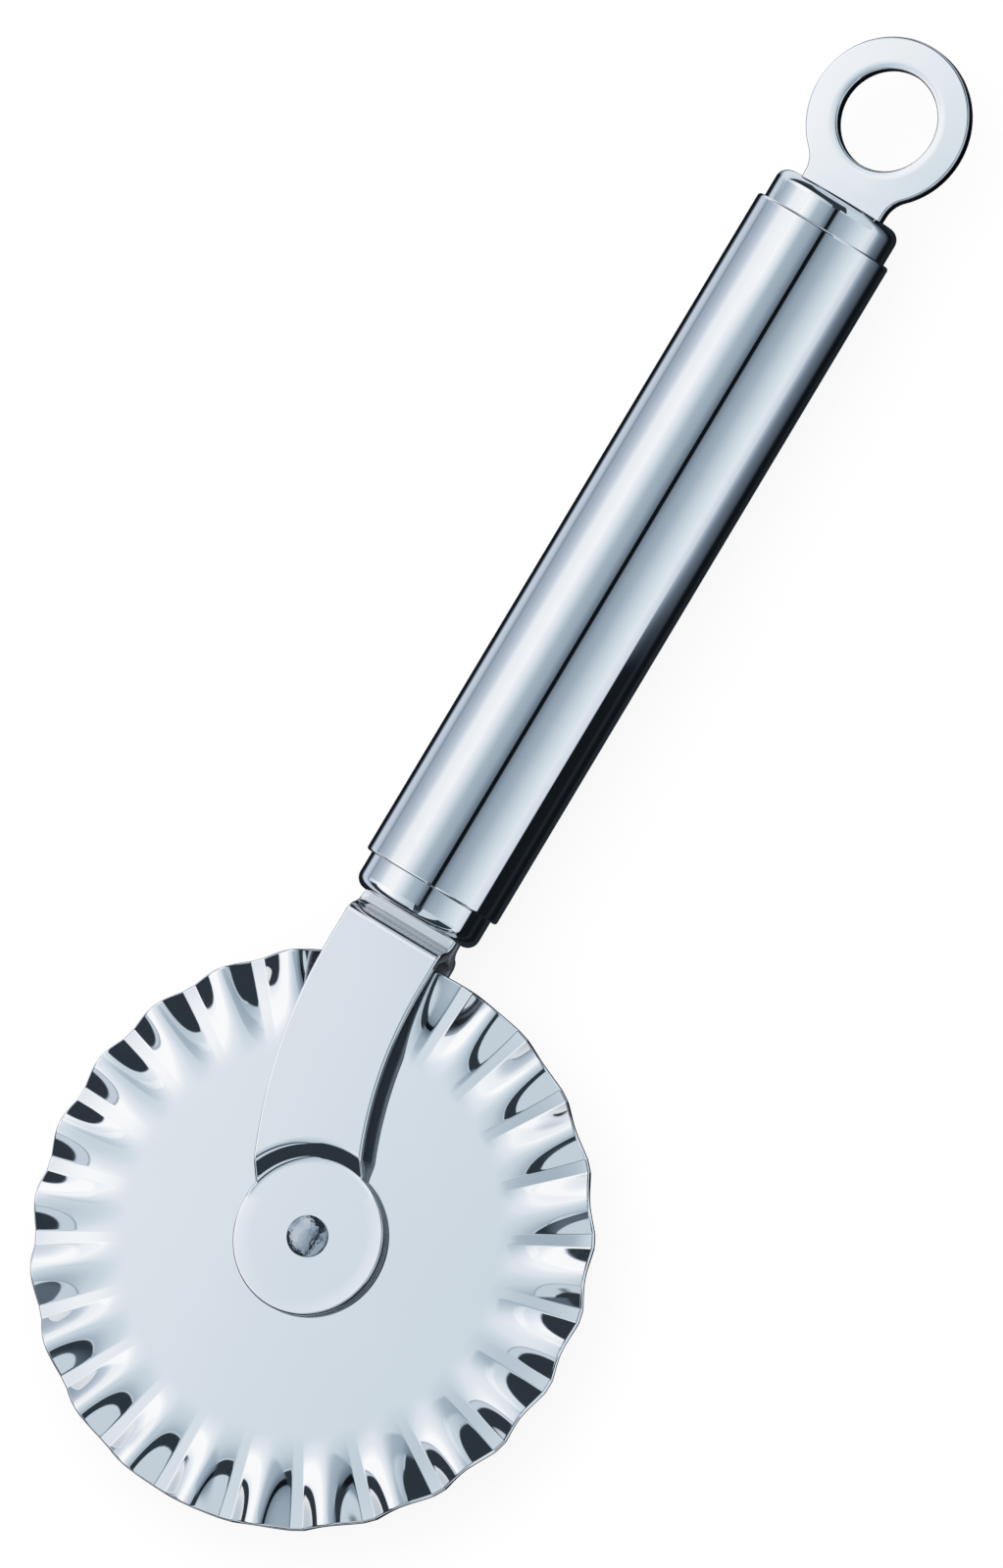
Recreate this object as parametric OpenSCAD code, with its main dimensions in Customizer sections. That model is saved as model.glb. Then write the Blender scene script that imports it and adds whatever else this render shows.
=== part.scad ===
// Rolling pastry cutter with a fluted wheel, held between two curved fork arms on a round tube handle.
// It lies on its side: +Z is the visible face, +Y runs along the handle to the hanging ring,
// and +X is the side to which the wheel is set off. The origin is under the middle of its box.

/* [Wheel] */
// Radius of the fluted wheel
wheel_r = 34; // [31:0.5:38]
// Thickness of the wheel's sheet
blade_t = 0.8; // [0.6:0.1:1]
// Number of flutes round the rim
flute_count = 24; // [16:1:28]
// Height of the flutes above and below the flat of the wheel
flute_h = 0.9; // [0.6:0.1:1.2]
// Radial width of the band over which the flutes rise to the rim
flute_band = 11.5; // [10:0.1:13]
// Sideways offset of the wheel's axis from the handle's axis
wheel_offset = 9.6; // [7:0.2:12]

/* [Fork arms] */
// Thickness of the arms' sheet
arm_t = 1.1; // [0.9:0.1:1.3]
// Width of an arm
arm_w = 13; // [11:0.5:13.5]
// Radius of an arm's round end at the axle
hub_r = 9.2; // [8:0.2:10]
// Height above the axle at which an arm starts to curve sideways
curve_y = 31; // [28:0.5:33]
// Gap between the wheel and an arm's round end
hub_gap = 0.1; // [0.1:0.05:0.3]
// Gap between the flutes and an arm
flute_gap = 0.9; // [0.6:0.1:1.2]
// Slope of the step round the hub, in degrees
step_angle = 64; // [55:1:70]
// Slope of the bend at the neck, in degrees
neck_angle = 70; // [60:1:75]
// Inside radius of the arms' bends
bend_r = 0.3; // [0.2:0.05:0.4]
// Gap between the wheel's rim and the bend at the neck
rim_gap = 0.5; // [0.3:0.1:1.5]
// Length of the flat tangs that shows between the bend and the handle
neck_flat = 1.3; // [0.6:0.1:2]
// Length of the tangs inside the handle's end cap
tang_l = 8; // [5:0.5:12]

/* [Axle] */
// Radius of the rivet's shank
shank_r = 2; // [1.5:0.1:2.2]
// Radius of the rivet's heads
head_r = 2.45; // [2.4:0.05:3.2]
// Height of the straight rim of a rivet head
head_rim = 0.65; // [0.4:0.05:0.9]
// Height of the dome on a rivet head
head_dome = 0.3; // [0.2:0.05:0.5]
// Outer radius of the bush that the wheel turns on
bush_r = 4; // [3:0.25:5]
// Radial running clearance between the wheel and the bush
run_clear = 0.05; // [0.03:0.01:0.1]

/* [Handle] */
// Diameter of the grip sleeve
sleeve_d = 17.4; // [16.8:0.2:20]
// Wall of the grip sleeve
sleeve_wall = 0.7; // [0.5:0.1:0.9]
// Length of the grip sleeve
sleeve_l = 88.4; // [70:0.2:110]
// Radius of the sleeve's rounded outer edges
sleeve_edge = 0.2; // [0.1:0.05:0.3]
// Length of an end cap that shows beyond the sleeve
cap_show = 4.1; // [3:0.1:6]
// Length of an end cap inside the sleeve
cap_skirt = 8; // [6:0.5:14]
// Wall of an end cap
cap_wall = 0.9; // [0.7:0.1:1.1]
// Radius of an end cap's rounded corner
cap_corner = 1.5; // [1.2:0.1:1.8]
// Radial clearance between pieces that are pressed or welded together
fit_clear = 0.02; // [0.01:0.01:0.05]

/* [Hanging ring] */
// Outer radius of the hanging ring
ring_r = 9.9; // [9:0.1:11.5]
// Radius of the hole in the hanging ring
hole_r = 6; // [5:0.1:6.5]
// Thickness of the hanging ring's plate
ring_t = 2; // [1.6:0.1:2.4]
// Radius of the ring's rounded edges
ring_edge = 0.3; // [0.1:0.05:0.4]
// Width of the ring's neck and tang
ring_neck_w = 11.2; // [9.6:0.2:12]
// Radius of the fillets between the ring and its neck
ring_fillet = 3.5; // [2:0.1:4]
// Distance from the handle's end to the centre of the hole
ring_stand = 10.6; // [9.8:0.1:13]
// Length of the ring's tang inside the end cap
ring_tang = 8; // [5:0.5:12]

/* [Hidden] */
$fn = 96;

// Steps along each bend of the arms' sheet
bend_steps = 8;
// Facets along one flute
flute_steps = 12;
// Places of the rings of facets, as shares of the fluted band
ring_shares = [0, 0.15, 0.3, 0.45, 0.6, 0.8, 1];
// Roundness of the valleys: near 0 they are sharp creases, near 1 they are almost as broad as the crests
valley_share = 0.9;
// Turn of the flutes about the axle at rest, in degrees
flute_turn = -1;
// Radius of the coarse middle of the wheel, as a share of the flat's radius
core_share = 0.6;
// Overrun of a cut past the faces that it goes through
cut = 1;

// Handle sections from the fork end to the ring end, measured along Y from the axle
half_blade = blade_t / 2;
flute_top = flute_h + half_blade;
bend_mid_r = bend_r + arm_t / 2;
neck_rise = flute_top + flute_gap;
neck_bend_l = s_length(neck_rise, neck_angle);
neck_start_y = wheel_r + rim_gap;
neck_end_y = neck_start_y + neck_bend_l;
fork_cap_y = neck_end_y + neck_flat;
sleeve_y = fork_cap_y + cap_show;
ring_cap_y = sleeve_y + sleeve_l + cap_show;
ring_y = ring_cap_y + ring_stand;
mid_y = (ring_y + ring_r - wheel_r) / 2;
sleeve_r = sleeve_d / 2;
cap_r = sleeve_r - sleeve_wall - fit_clear;

// Levels of the arms' inner faces above the middle of the wheel
hub_level = half_blade + hub_gap;
arm_level = neck_rise;
arm_top = arm_level + arm_t;
step_rise = arm_level - hub_level;

// The arms' centre line leaves the handle's axis on an arc that ends at the axle
curve_r = (wheel_offset * wheel_offset + curve_y * curve_y) / (2 * wheel_offset);
curve_angle = asin(curve_y / curve_r);
join_y = neck_start_y / 2;
hub_zone_r = norm([join_y, wheel_offset + arm_w / 2]);
tang_end_y = fork_cap_y + tang_l;

// Flat of the wheel inside the flutes
root_r = wheel_r - flute_band;
core_r = root_r * core_share;
facet_count = flute_count * flute_steps;
ring_radii = [for (s = ring_shares) root_r + s * flute_band];

// Straight part of an S-shaped bend, and its length along the sheet's flats
function s_straight(rise, angle) = (rise - 2 * bend_mid_r * (1 - cos(angle))) / sin(angle);
function s_length(rise, angle) = 2 * bend_mid_r * sin(angle) + s_straight(rise, angle) * cos(angle);

// Points of one face of an S-shaped bend, at a distance side above the sheet's centre line.
// It starts at x = 0 on the low flat and ends on the high flat.
function s_face(rise, angle, side) = concat(
    [for (i = [0:bend_steps])
        let (a = angle * i / bend_steps)
        [(bend_mid_r - side) * sin(a), bend_mid_r - (bend_mid_r - side) * cos(a)]],
    [for (i = [bend_steps:-1:0])
        let (a = angle * i / bend_steps)
        [s_length(rise, angle) - (bend_mid_r + side) * sin(a),
         rise - bend_mid_r + (bend_mid_r + side) * cos(a)]]
);
function moved(points, dx, dy) = [for (p = points) [p[0] + dx, p[1] + dy]];
function flipped(points) = [for (i = [len(points) - 1:-1:0]) points[i]];

// Height of the wheel's middle surface: crests and slightly narrower valleys that grow towards the rim
function fade(r) =
    let (s = max(0, min(1, (r - root_r) / flute_band)))
    s * s * (3 - 2 * s);
function wave(a) =
    let (c = cos(a / 2))
    2 * (sqrt(c * c + valley_share * valley_share) - valley_share)
        / (sqrt(1 + valley_share * valley_share) - valley_share) - 1;
function flute_z(r, a) = flute_h * fade(r) * wave(flute_count * a + 180);
function on_wheel(r, a, side) =
    let (t = a + flute_turn)
    [r * cos(t), r * sin(t), flute_z(r, a) + side * half_blade];

// Moves a piece from the axle's frame to the part's frame
module placed() {
    translate([0, -mid_y, sleeve_r]) children();
}

// Turns a revolved piece so that it runs along the handle from a height y
module on_handle(y) {
    translate([-wheel_offset, y, 0]) rotate([-90, 0, 0]) children();
}

// Rectangle from the axis to radius r whose outer lower corner is round
module corner_profile(r, l, corner) {
    square([r - corner, l]);
    translate([0, corner]) square([r, l - corner]);
    translate([r - corner, corner]) circle(r = corner);
}

// Drawn cap: its closed end stands on the plane z = 0
module cup() {
    cap_l = cap_show + cap_skirt;
    rotate_extrude() difference() {
        corner_profile(cap_r, cap_l, cap_corner);
        translate([0, cap_wall]) corner_profile(cap_r - cap_wall, cap_l, cap_corner - cap_wall);
    }
}

// Slot in a cap's closed end for a flat tang
module tang_slot(width, thickness, y) {
    w = width + 2 * fit_clear;
    t = thickness + 2 * fit_clear;
    depth = cap_wall + cap_corner;
    translate([-wheel_offset - w / 2, y - depth, -t / 2]) cube([w, 2 * depth, t]);
}

module grip_sleeve() {
    color("silver") placed() on_handle(sleeve_y) rotate_extrude() {
        translate([sleeve_r - sleeve_wall, 0]) square([sleeve_wall - sleeve_edge, sleeve_l]);
        translate([sleeve_r - sleeve_wall, sleeve_edge]) square([sleeve_wall, sleeve_l - 2 * sleeve_edge]);
        for (y = [sleeve_edge, sleeve_l - sleeve_edge])
            translate([sleeve_r - sleeve_edge, y]) circle(r = sleeve_edge);
    }
}

module fork_end_cap() {
    color("gainsboro") placed() difference() {
        on_handle(fork_cap_y) cup();
        tang_slot(arm_w, 2 * arm_t, fork_cap_y);
    }
}

module ring_end_cap() {
    color("gainsboro") placed() difference() {
        on_handle(ring_cap_y) mirror([0, 0, 1]) cup();
        tang_slot(ring_neck_w, ring_t, ring_cap_y);
    }
}

// Half of the ring's neck with the fillet that runs into the ring, on the side of +X
module half_neck() {
    fillet_x = ring_neck_w / 2 + ring_fillet;
    fillet_y = -sqrt((ring_r + ring_fillet) * (ring_r + ring_fillet) - fillet_x * fillet_x);
    difference() {
        polygon([[0, 0], [fillet_x, fillet_y], [0, fillet_y]]);
        translate([fillet_x, fillet_y]) circle(r = ring_fillet);
    }
    neck_l = ring_stand + ring_tang;
    translate([0, -neck_l]) square([ring_neck_w / 2, neck_l - ring_r / 2]);
}

module hanging_ring() {
    color("gainsboro") placed() translate([-wheel_offset, ring_y, 0]) {
        rotate_extrude() {
            translate([hole_r + ring_edge, -ring_t / 2])
                square([ring_r - hole_r - 2 * ring_edge, ring_t]);
            translate([hole_r, ring_edge - ring_t / 2])
                square([ring_r - hole_r, ring_t - 2 * ring_edge]);
            for (x = [hole_r + ring_edge, ring_r - ring_edge], z = [-1, 1])
                translate([x, z * (ring_t / 2 - ring_edge)]) circle(r = ring_edge);
        }
        translate([0, 0, -ring_t / 2]) linear_extrude(height = ring_t) difference() {
            union() {
                half_neck();
                mirror([1, 0]) half_neck();
            }
            circle(r = hole_r + ring_edge);
        }
    }
}

// Outline of a fork arm: straight tang, curved band and round end at the axle
module arm_outline() {
    far = 2 * curve_r;
    translate([-wheel_offset - arm_w / 2, curve_y]) square([arm_w, tang_end_y - curve_y]);
    translate([curve_r - wheel_offset, curve_y]) intersection() {
        difference() {
            circle(r = curve_r + arm_w / 2, $fn = 360);
            circle(r = curve_r - arm_w / 2, $fn = 360);
        }
        polygon([[0, 0], [-far, 0], [-far * cos(curve_angle), -far * sin(curve_angle)]]);
    }
    circle(r = hub_r);
}

// Sheet round the axle: low flat against the wheel, step, and high flat over the flutes
module hub_sheet() {
    low = hub_level + arm_t / 2;
    rotate_extrude() polygon(concat(
        [[0, hub_level]],
        moved(s_face(step_rise, step_angle, -arm_t / 2), hub_r, low),
        [[hub_zone_r, arm_level], [hub_zone_r, arm_top]],
        flipped(moved(s_face(step_rise, step_angle, arm_t / 2), hub_r, low)),
        [[0, hub_level + arm_t]]
    ));
}

// Sheet of the neck: high flat over the flutes, bend, and low flat that enters the handle
module neck_sheet() {
    function along(points) = [for (p = points) [neck_end_y - p[0], p[1] + arm_t / 2]];
    translate([-wheel_offset - arm_w / 2 - cut, 0, 0]) rotate([90, 0, 90])
        linear_extrude(height = arm_w + 2 * cut) polygon(concat(
            [[tang_end_y, 0]],
            along(s_face(neck_rise, neck_angle, -arm_t / 2)),
            [[join_y, arm_level], [join_y, arm_top]],
            flipped(along(s_face(neck_rise, neck_angle, arm_t / 2))),
            [[tang_end_y, arm_t]]
        ));
}

// One arm of the fork on the side of +Z
module fork_arm() {
    difference() {
        intersection() {
            linear_extrude(height = arm_top + cut) arm_outline();
            union() {
                hub_sheet();
                neck_sheet();
            }
        }
        cylinder(r = shank_r + fit_clear, h = arm_top);
    }
}

module front_fork_arm() {
    color("lightsteelblue") placed() fork_arm();
}

module rear_fork_arm() {
    color("lightsteelblue") placed() mirror([0, 0, 1]) fork_arm();
}

// Half of the rivet on the side of +Z: shank and domed head
module half_rivet() {
    seat = hub_level + arm_t;
    dome_r = (head_r * head_r + head_dome * head_dome) / (2 * head_dome);
    rotate_extrude() {
        square([shank_r, seat + head_rim]);
        translate([0, seat]) square([head_r, head_rim]);
        intersection() {
            translate([0, seat + head_rim]) square([head_r, head_dome]);
            translate([0, seat + head_rim + head_dome - dome_r]) circle(r = dome_r);
        }
    }
}

module axle_rivet() {
    color("darkgray") placed() {
        half_rivet();
        mirror([0, 0, 1]) half_rivet();
    }
}

module axle_bush() {
    color("dimgray") placed() translate([0, 0, -hub_level]) difference() {
        cylinder(r = bush_r, h = 2 * hub_level);
        translate([0, 0, -cut]) cylinder(r = shank_r + fit_clear, h = 2 * hub_level + 2 * cut);
    }
}

// Point numbers on the wheel: the middle, the coarse core ring and the fine rings of each face
side_points = 1 + flute_count + facet_count * len(ring_radii);
function mid_i(s) = s * side_points;
function core_i(s, k) = mid_i(s) + 1 + k % flute_count;
function ring_i(s, j, i) = mid_i(s) + 1 + flute_count + j * facet_count + i % facet_count;
function turned(faces) = [for (f = faces) [f[2], f[1], f[0]]];

function face_points(side) = concat(
    [[0, 0, side * half_blade]],
    [for (k = [0:flute_count - 1]) on_wheel(core_r, 360 * k / flute_count, side)],
    [for (r = ring_radii, i = [0:facet_count - 1]) on_wheel(r, 360 * i / facet_count, side)]
);

function face_triangles(s) = concat(
    [for (k = [0:flute_count - 1]) [mid_i(s), core_i(s, k + 1), core_i(s, k)]],
    [for (k = [0:flute_count - 1]) [core_i(s, k), core_i(s, k + 1), ring_i(s, 0, (k + 1) * flute_steps)]],
    [for (k = [0:flute_count - 1], i = [k * flute_steps:(k + 1) * flute_steps - 1])
        [core_i(s, k), ring_i(s, 0, i + 1), ring_i(s, 0, i)]],
    [for (j = [0:len(ring_radii) - 2], i = [0:facet_count - 1], f = [0, 1])
        f == 0 ? [ring_i(s, j, i), ring_i(s, j, i + 1), ring_i(s, j + 1, i + 1)]
               : [ring_i(s, j, i), ring_i(s, j + 1, i + 1), ring_i(s, j + 1, i)]]
);

function rim_triangles(j) = [for (i = [0:facet_count - 1], f = [0, 1])
    f == 0 ? [ring_i(0, j, i), ring_i(0, j, i + 1), ring_i(1, j, i)]
           : [ring_i(0, j, i + 1), ring_i(1, j, i + 1), ring_i(1, j, i)]];

module fluted_wheel() {
    color("aliceblue") placed() difference() {
        polyhedron(
            points = concat(face_points(1), face_points(-1)),
            faces = concat(
                face_triangles(0),
                turned(face_triangles(1)),
                rim_triangles(len(ring_radii) - 1)
            )
        );
        translate([0, 0, -blade_t]) cylinder(r = bush_r + run_clear, h = 2 * blade_t);
    }
}

grip_sleeve();
fork_end_cap();
ring_end_cap();
hanging_ring();
front_fork_arm();
rear_fork_arm();
axle_rivet();
axle_bush();
fluted_wheel();
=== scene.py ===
# Looks of the rolling pastry cutter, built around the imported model.
# Shapes are made in millimetres in the modelling frame of the source: the origin is at the axle,
# Y runs along the handle and Z out of the visible face. place() moves them to the row frame, in metres.
import math

import bpy
import numpy as np
from mathutils import Matrix, Vector, geometry


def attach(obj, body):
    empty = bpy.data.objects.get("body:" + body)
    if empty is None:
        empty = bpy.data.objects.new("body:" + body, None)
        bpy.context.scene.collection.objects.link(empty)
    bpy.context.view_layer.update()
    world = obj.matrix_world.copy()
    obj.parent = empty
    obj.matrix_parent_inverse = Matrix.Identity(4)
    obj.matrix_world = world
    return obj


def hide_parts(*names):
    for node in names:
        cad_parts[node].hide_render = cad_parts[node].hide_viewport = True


# Sizes of the source, in millimetres and degrees
MID_Y = 60.4455
SLEEVE_R = 8.7
SLEEVE_WALL = 0.7
SLEEVE_Y = 41.891
SLEEVE_END_Y = 130.291
FORK_CAP_Y = 37.791
RING_CAP_Y = 134.391
CAP_R = 7.98
CAP_WALL = 0.9
CAP_CORNER = 1.5
CAP_SKIRT = 8
CAP_OUT = 4.1
CAP_LIP = 0.2
FIT_CLEAR = 0.02
OFFSET = 9.6
WHEEL_R = 34
ROOT_R = 22.8
BORE_R = 4.05
HALF_BLADE = 0.4
FLUTES = 24
FLUTE_H = 0.9
ARM_W = 13
ARM_T = 1.1
HUB_R = 9.2
HUB_LEVEL = 0.5
ARM_LEVEL = 2.2
CURVE_Y = 31
CURVE_R = 54.852
JOIN_Y = 17.25
NECK_END_Y = 36.491
NECK_ANGLE = 70
TANG_END_Y = 45.791
PIN_HOLE_R = 2.02
HEAD_R = 2.45
HEAD_SEAT = 1.6
SHANK_R = 2
RING_Y = 144.991
RING_R = 9.9
HOLE_R = 6
RING_T = 2
RING_NECK_W = 11.2
RING_FILLET = 3.5
RING_TANG_Y = 126.391

# Finer shape of the visible pieces
SLEEVE_EDGE = 0.35
SLEEVE_INNER_EDGE = 0.1
ARM_EDGE = 0.3
RING_EDGE = 0.3
RIM_EDGE = 0.3
NOTCH_R = 0.25
INNER_BEND = 0.3
OUTER_BEND = 1.4
UNDER_ANGLE = 64
STEP_ANGLE = 42
STEP_R = 8.57
STEP_FOOT = 1.2
STEP_HEAD = 1.2
BOSS_FLAT_R = 7
BOSS_LEAN = 0.11
NECK_FOOT = 1.6
NECK_FOOT_Y = 37.5
HEAD_RIM = 0.35
HEAD_DOME = 0.8
HEAD_CORNER = 0.12
SEAT_CORNER = 0.05
RING_CROWN = 0.14
HOLE_ROLL = 0.13
HOLE_ROLL_W = 1.2
TANG_CORNER = 0.5
# Bearings from the axle over which the arm's two sides meet the boss
ARM_FROM = (56, 64)
ARM_TO = (172, 180)

# How fine the meshes are, which bends (in radians per mm) count as worn, and which slopes count as cut edges,
# whose near-black colour is partly sheared metal and partly painted shade
LATHE_STEPS = 256
FLUTE_STEPS = 56
FLUTE_ROWS = 27
RIVET_STEPS = 96
EDGE_STEPS = 4
OUTLINE_STEP = 0.12
NOTCH_STEP = 0.05
SHEET_STEP = 1.6
RING_STEP = 1.4
BORDER_GAP = 0.09
SLOPE_STEP = 0.005
CREASE_STEP = 0.1
SHARP_ANGLE = 32
WORN_BENDS = (0.8, 3)
SHEARED_AND_SHADED_SLOPES = (0.6, 0.95)
# The arm's own edges keep little of the cut edges' near-black colour, and the boss's rim keeps all of it:
# there it is partly a sheared edge and partly painted shade
ARM_SHEARED_AND_SHADED = 0.15

# Flutes: rounded crests that lean to one side, and flat valleys between sharp creases
FLUTE_TURN = -0.63
CREST_ROUND = 0.71
CREST_LEAN = 0.07
VALLEY = 0.18
SIDE_SOFT = 0.16
RISE_SQUARE = 0.085
RISE_DIP = 0.16

# The camera looks along the row's -Z, leaning over from the side of +X
VIEW_RIGHT = Vector((0.8034, 0.5131, -0.3021))
VIEW_UP = Vector((-0.4803, 0.8583, 0.1806))
VIEW_BACK = Vector((0.352, 0, 0.936))
VIEW_AIM = Vector((-0.00874, -0.004155, 0.0087))
VIEW_DISTANCE = 3
VIEW_LENS = 596
VIEW_ANGLE = 20.6

# The studio that the metal mirrors. Its light levels, in the tables and numbers below, are rounded and were
# worked back from how bright the steel is in the photo where it mirrors these directions.
# How bright the surround is by the angle across the handle, from the left (-) to the right (+)
SWEEP = (
    (-95, 0.42), (-86, 0.53), (-80, 0.58), (-66, 0.80), (-56, 1.12), (-34, 1.20), (-20, 0.95), (-7, 0.60),
    (6, 0.50), (14, 0.29), (19, 0.18), (24, 0.18), (27, 0.32), (35, 0.46), (48, 0.57), (62, 0.78), (74, 0.92),
    (92, 1.08),
)
# The same over the wheel: an overhead panel with a bright edge, which leans over to the left
PANEL_LEAN = -22
PANEL_END = (11.4, 12)
PANEL = (
    (-95, 0.80), (-84, 0.85), (-72, 1.05), (-60, 1.25), (-38, 1.27), (-27, 1.05), (-22, 1.005), (-18, 0.94),
    (-14, 0.89), (-7, 0.83), (0, 0.74), (8, 0.60), (9.8, 0.56), (10.3, 0.76), (11.5, 0.8),
)
DARK = 0.045
BLACK = 0.008
NEAR_PANEL = 0.8
SEAM = 0.45
DIM = 0.17
SIDE_PANEL = 0.82
FAR_WALL = 0.72
RING_GAIN = 1.13
# Light from the right of these angles across the handle is a little cooler
COOL_FROM = (-24, -14)
# Light that the floor returns, by the distance across from the handle's axis in millimetres:
# beside the ring end of the handle, and beside its other half and the wheel
FLOOR_FAR = (
    (-400, 0.38), (-150, 0.40), (-60, 0.75), (-36, 0.80), (-26, 0.01), (7, 0.02), (11.5, 0.02), (12.5, 0.008),
    (16, 0.01), (18, 0.1), (30, 0.26), (55, 0.86), (134, 1.0), (400, 1.0),
)
FLOOR_NEAR = (
    (-400, 0.38), (-150, 0.40), (-60, 0.75), (-36, 0.80), (-26, 0.01), (7, 0.025), (11.5, 0.025),
    (12.5, 0.008), (16, 0.01), (18, 0.03), (21, 0.012), (46, 0.01), (52, 0.92), (120, 1.0), (400, 1.0),
)
FLOOR_BESIDE_RING = 0.9
FLOOR_ENDS = 0.8
DOME_R = 0.35

# The steel's colour, its lighter and darker patches, and how it changes where it is worn, where it is
# unpolished, and on its cut edges, whose near-black colour is partly sheared metal and partly painted shade.
# Sizes of the colour's and the gloss's patches are in metres.
STEEL = (0.73, 0.75, 0.765)
PATCHES = (0.985, 1.015)
WORN_SHADE = 1.08
# Near-black colour of the cut edges: partly sheared metal, partly painted shade
SHEARED_AND_SHADED_COLOUR = (0.05, 0.058, 0.068, 1)
RAW_COLOUR = (0.3, 0.34, 0.39, 1)
ROUGHER = (0.04, 0.05, 0.3)
RAW_METALLIC = 0.3
CLOUD_SIZE = 0.012
FINE_SIZE = 0.0009

# Plain light for everything but reflections, and the floor as the camera sees it
WORLD_LEVEL = 0.6
SUN_LEVEL = 1.2
SUN_SPREAD = 70
SUN_TURN = (-18, -14, 0)
FLOOR_GREY = 0.12
FLOOR_GLOW = 0.9


def smooth(low, high, value):
    t = np.clip((value - low) / (high - low), 0, 1)
    return t * t * (3 - 2 * t)


def mix(a, b, share):
    return a + (b - a) * share


def unit(vectors):
    return vectors / np.linalg.norm(vectors, axis=-1, keepdims=True)


def place(points):
    """Millimetres in the modelling frame to metres in the row frame."""
    return (np.asarray(points, float) + (0, -MID_Y, SLEEVE_R)) * 0.001


def facing_out(points, normals, faces):
    """The faces, each turned so that its own normal agrees with its corners' normals."""
    corners = points[faces[:, :3]]
    own = np.cross(corners[:, 1] - corners[:, 0], corners[:, 2] - corners[:, 0])
    if faces.shape[1] == 4:
        own = np.cross(
            points[faces[:, 2]] - points[faces[:, 0]], points[faces[:, 3]] - points[faces[:, 1]]
        )
    wrong = np.einsum("ij,ij->i", own, normals[faces].sum(1)) < 0
    turned = faces.copy()
    turned[wrong] = faces[wrong][:, ::-1]
    return turned


def link(name, mesh):
    obj = bpy.data.objects.new(name, mesh)
    bpy.context.scene.collection.objects.link(obj)
    return obj


def wear(points, normals, face_sets):
    """How much each point is on an outer edge, from 0 on a flat to 1 on a sharp one: the second strongest
    bend towards its neighbours counts, so that a point where an edge ends is still flat."""
    pairs = np.concatenate([np.stack([f, np.roll(f, -1, 1)], 2).reshape(-1, 2) for f in face_sets])
    count = len(points)
    low, high = np.divmod(np.unique(pairs.min(1) * count + pairs.max(1)), count)
    step, turn = points[high] - points[low], normals[high] - normals[low]
    bend = np.tile((turn * step).sum(1) / np.maximum((step * step).sum(1), 1e-4), 2)
    at = np.concatenate([low, high])
    order = np.lexsort((-bend, at))
    at, bend = at[order], bend[order]
    again = at[1:] == at[:-1]
    second = np.flatnonzero(again & ~np.concatenate([[False], again[:-1]])) + 1
    most = np.zeros(count)
    most[at[second]] = bend[second]
    return smooth(*WORN_BENDS, most)


def mark(mesh, name, values):
    layer = mesh.attributes.new(name, "FLOAT", "POINT")
    layer.data.foreach_set("value", np.asarray(values, np.float32))


def make_mesh(name, points, normals, face_sets, marks=None):
    """A smooth mesh that carries the given normals and marks. Points that no face uses are left out."""
    sets = [facing_out(points, normals, np.asarray(f)) for f in face_sets if len(f)]
    used = np.unique(np.concatenate([f.ravel() for f in sets]))
    number = np.zeros(len(points), int)
    number[used] = np.arange(len(used))
    faces = [row for f in sets for row in number[f].tolist()]
    mesh = bpy.data.meshes.new(name)
    mesh.from_pydata(place(points[used]).tolist(), [], faces)
    mesh.shade_smooth()
    mesh.normals_split_custom_set_from_vertices(unit(normals[used]).tolist())
    mark(mesh, "worn", wear(points, unit(normals), sets)[used])
    for key, values in (marks or {}).items():
        mark(mesh, key, values[used])
    return mesh


def dress(obj, material, body, node):
    obj.data.materials.clear()
    obj.data.materials.append(material)
    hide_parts(node)
    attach(obj, body)


def strip(rows, count, closed=True):
    """Four-sided faces between neighbouring rows of count points each."""
    i = np.arange(count if closed else count - 1)
    k = (i + 1) % count
    faces = []
    for row in range(rows - 1):
        low, high = row * count, (row + 1) * count
        faces.append(np.stack([low + i, low + k, high + k, high + i], 1))
    return np.concatenate(faces)


def rounded_profile(corners, closed):
    """Points and outward normals of a polygon with corners (x, y, radius), in counterclockwise order."""
    at = np.array([c[:2] for c in corners], float)
    n = len(at)
    points, normals = [], []
    for i, (_, _, radius) in enumerate(corners):
        ends = not closed and i in (0, n - 1)
        before = at[i] - at[i - 1] if not (ends and i == 0) else at[1] - at[0]
        after = at[(i + 1) % n] - at[i] if not (ends and i == n - 1) else before
        n0, n1 = ([d[1], -d[0]] / np.hypot(*d) for d in (before, after))
        turn = n0[0] * n1[1] - n0[1] * n1[0]
        if ends or abs(turn) < 1e-9:
            points.append(at[i])
            normals.append(n1)
        elif radius == 0:
            points += [at[i], at[i]]
            normals += [n0, n1]
        else:
            side = 1 if turn > 0 else -1
            centre = at[i] - side * radius * (n0 + n1) / (1 + n0 @ n1)
            angle = math.acos(max(-1, min(1, n0 @ n1)))
            for a in np.linspace(0, 1, 9):
                nn = (math.sin((1 - a) * angle) * n0 + math.sin(a * angle) * n1) / math.sin(angle)
                points.append(centre + side * radius * nn)
                normals.append(nn)
    return np.array(points), np.array(normals)


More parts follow.
